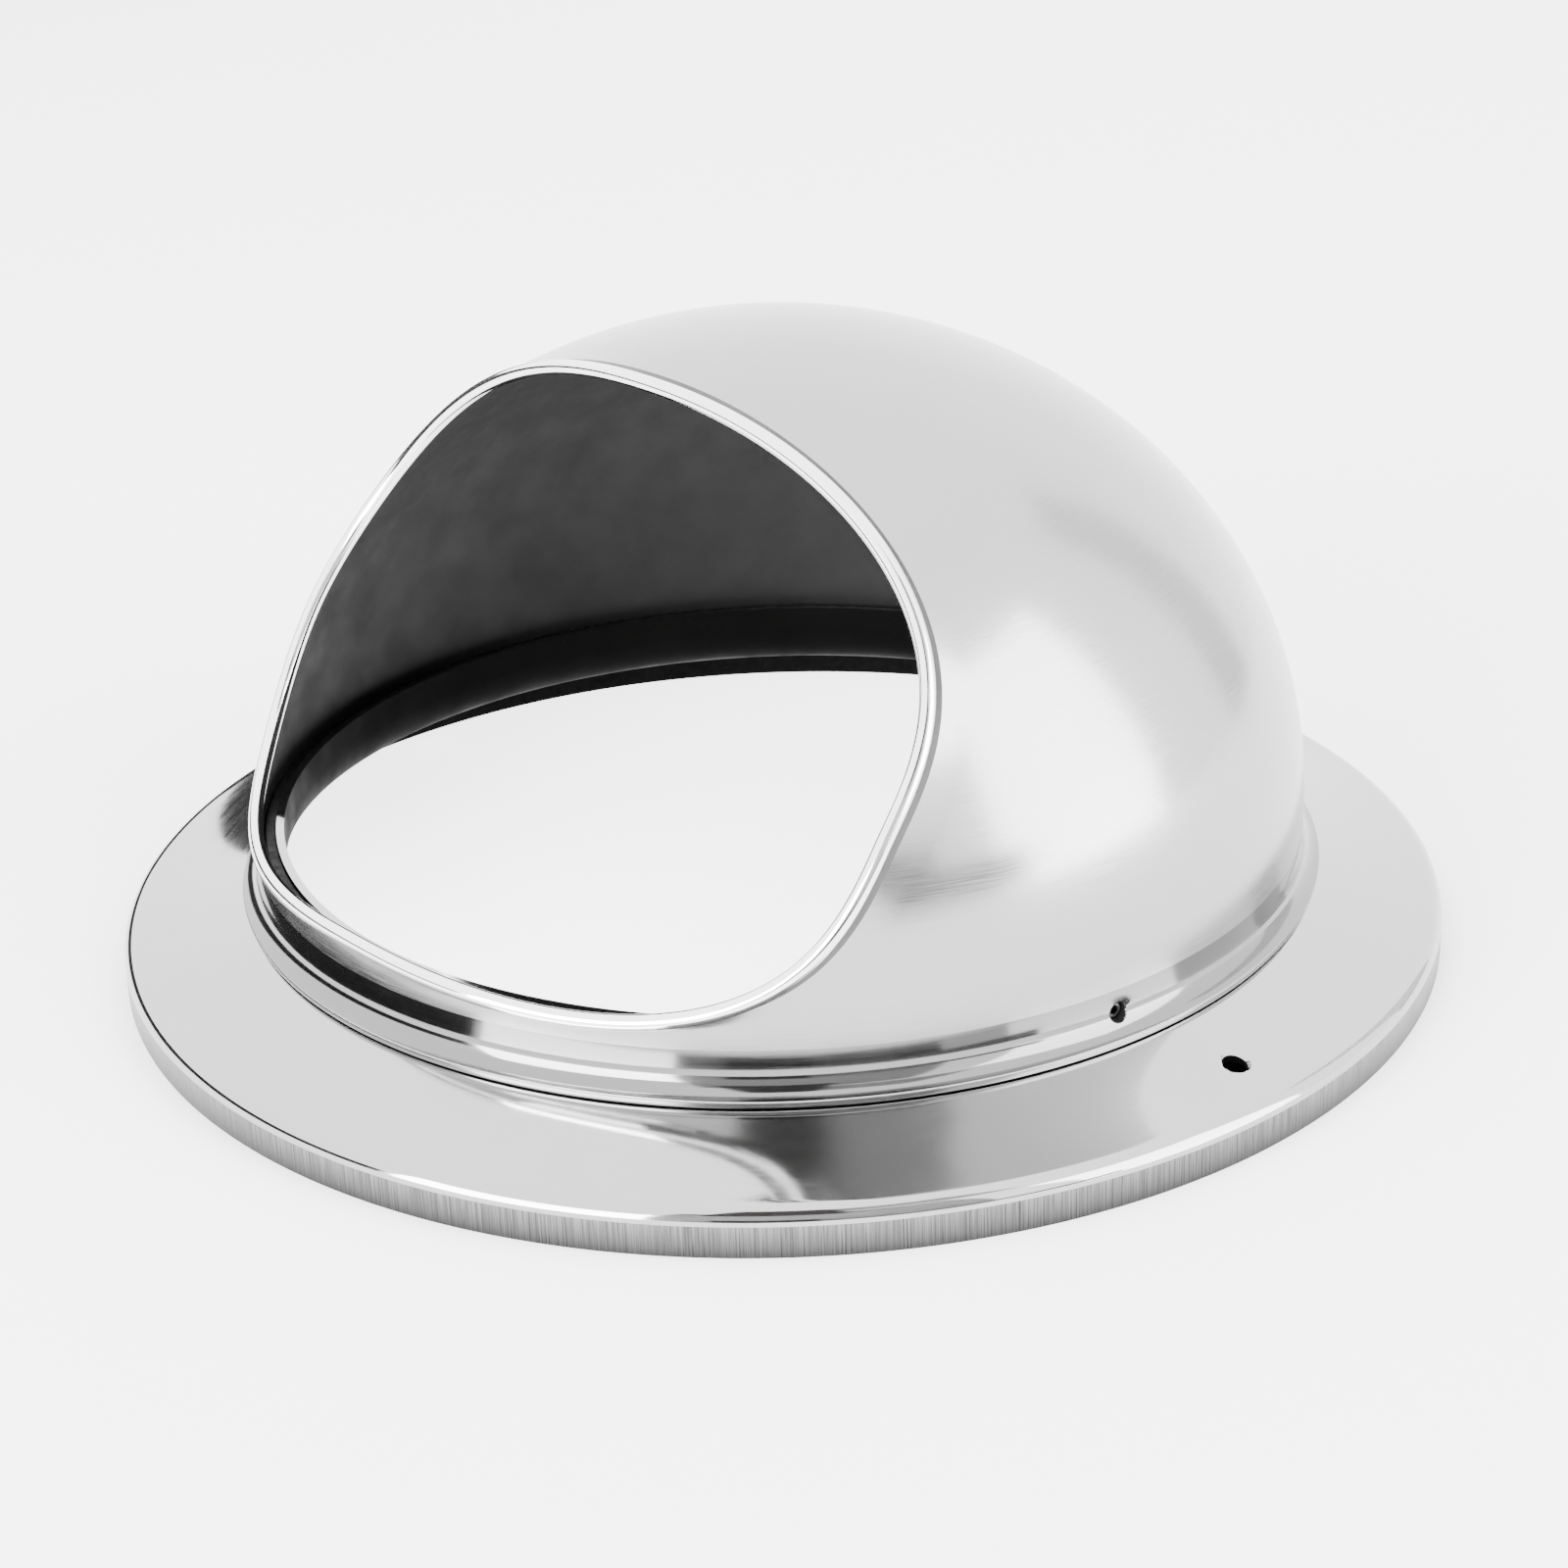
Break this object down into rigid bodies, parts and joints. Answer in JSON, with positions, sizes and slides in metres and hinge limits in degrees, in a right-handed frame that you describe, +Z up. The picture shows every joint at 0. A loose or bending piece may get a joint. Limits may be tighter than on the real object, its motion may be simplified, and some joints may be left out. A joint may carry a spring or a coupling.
{
  "type": "cowl vent",
  "caption": "Low round deck ventilator: a polished dome with a wide scooped mouth and beaded edge turns on a dished screw-down flange.",
  "frame": {"origin": "centre of the flange's underside, at deck level", "axes": "+Z up out of the deck, the mouth faces -Y at rest, deck screw holes on the X axis"},
  "size_m": [0.2024, 0.2024, 0.0938],
  "materials": {
    "polished_shell": "mirror-polished stainless steel, dark lacquer inside",
    "polished_rim": "mirror-polished stainless steel",
    "polished_flange": "mirror-polished stainless steel with a brushed rim",
    "screw_steel": "plain stainless steel",
    "nylon": "black nylon",
    "gasket_rubber": "matt black rubber"
  },
  "bodies": {
    "base": {"deck_flange": "polished_flange", "glide_ring": "nylon", "rim_gasket": "gasket_rubber"},
    "cowl": {"cowl_shell": "polished_shell", "mouth_rim": "polished_rim"},
    "clamp_left": {"clamp_screw_left": "screw_steel"},
    "clamp_right": {"clamp_screw_right": "screw_steel"}
  },
  "joints": [
    {"name": "cowl_turn", "type": "hinge", "parent": "base", "child": "cowl", "pos_m": [0, 0, 0.0222], "axis": [0, 0, 1], "continuous": true},
    {"name": "clamp_left_slacken", "type": "slide", "parent": "cowl", "child": "clamp_left", "axis": [-0.9925, -0.1219, 0], "range_m": [0, 0.001]},
    {"name": "clamp_right_slacken", "type": "slide", "parent": "cowl", "child": "clamp_right", "axis": [0.9925, -0.1219, 0], "range_m": [0, 0.001]}
  ]
}
